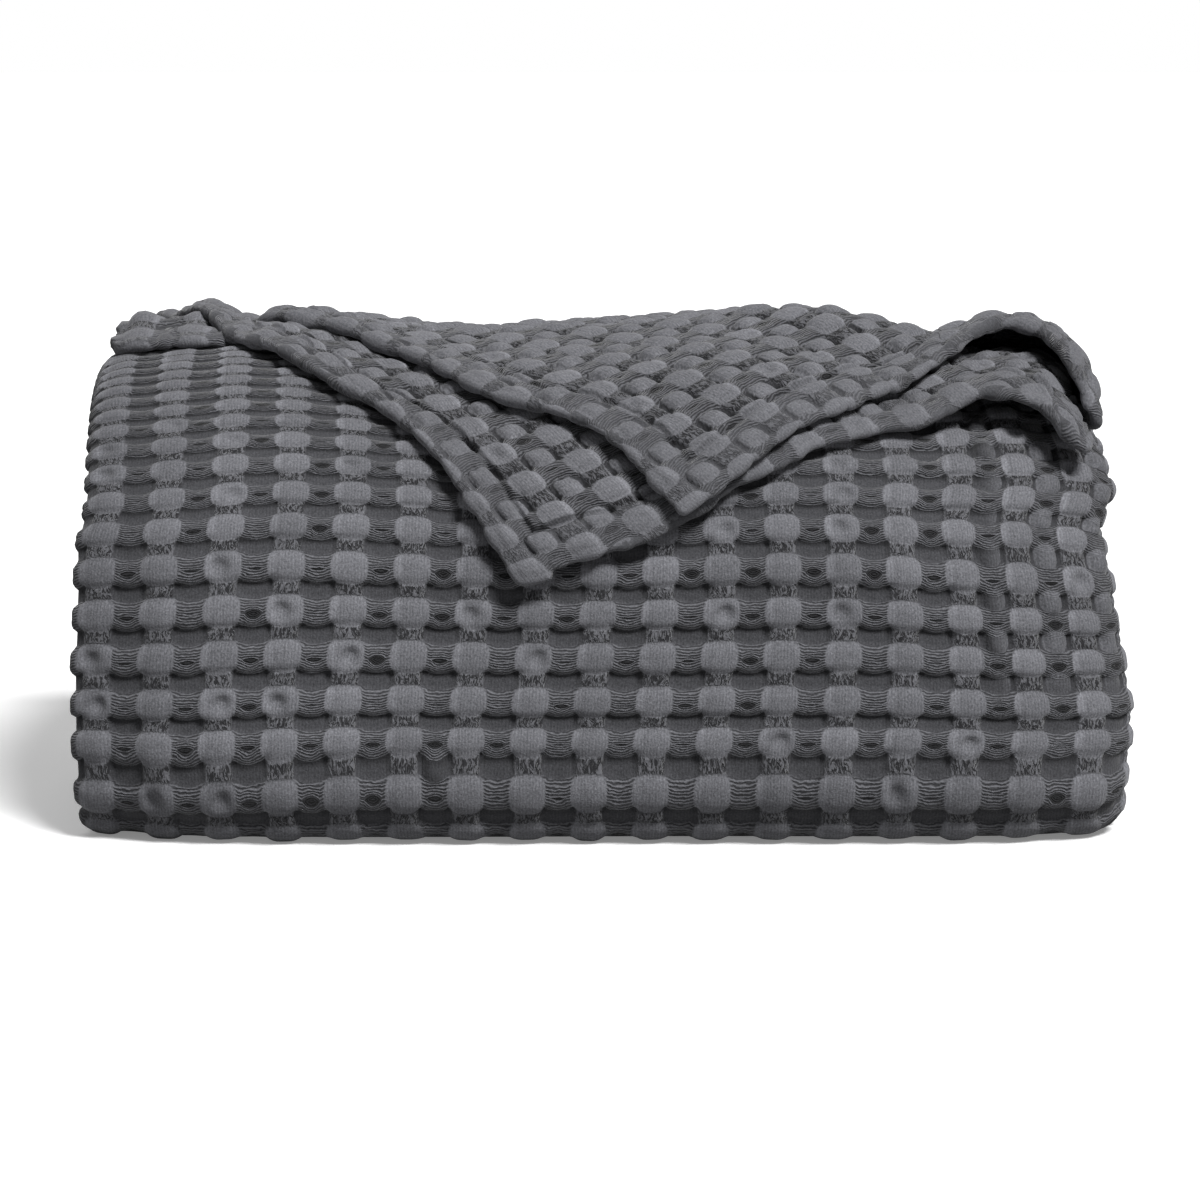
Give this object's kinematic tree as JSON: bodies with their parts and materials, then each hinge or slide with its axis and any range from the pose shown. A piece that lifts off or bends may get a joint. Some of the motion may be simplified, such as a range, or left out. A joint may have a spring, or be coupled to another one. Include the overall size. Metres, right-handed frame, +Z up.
{
  "type": "folded waffle weave blanket",
  "caption": "Thick cotton blanket folded into a soft stack with a round front, its loose end drawn askew over the top so that the corners hang over the front.",
  "frame": {"origin": "on the surface that the folded blanket rests on, under the middle of its box", "axes": "+X along the round front, to the right as seen from the front; +Y from the front to the back; +Z up"},
  "size_m": [0.388, 0.2635, 0.1957],
  "materials": {
    "cotton": "dark grey washed cotton in a puckered waffle weave"
  },
  "bodies": {
    "root": {"blanket": "cotton"}
  },
  "joints": []
}
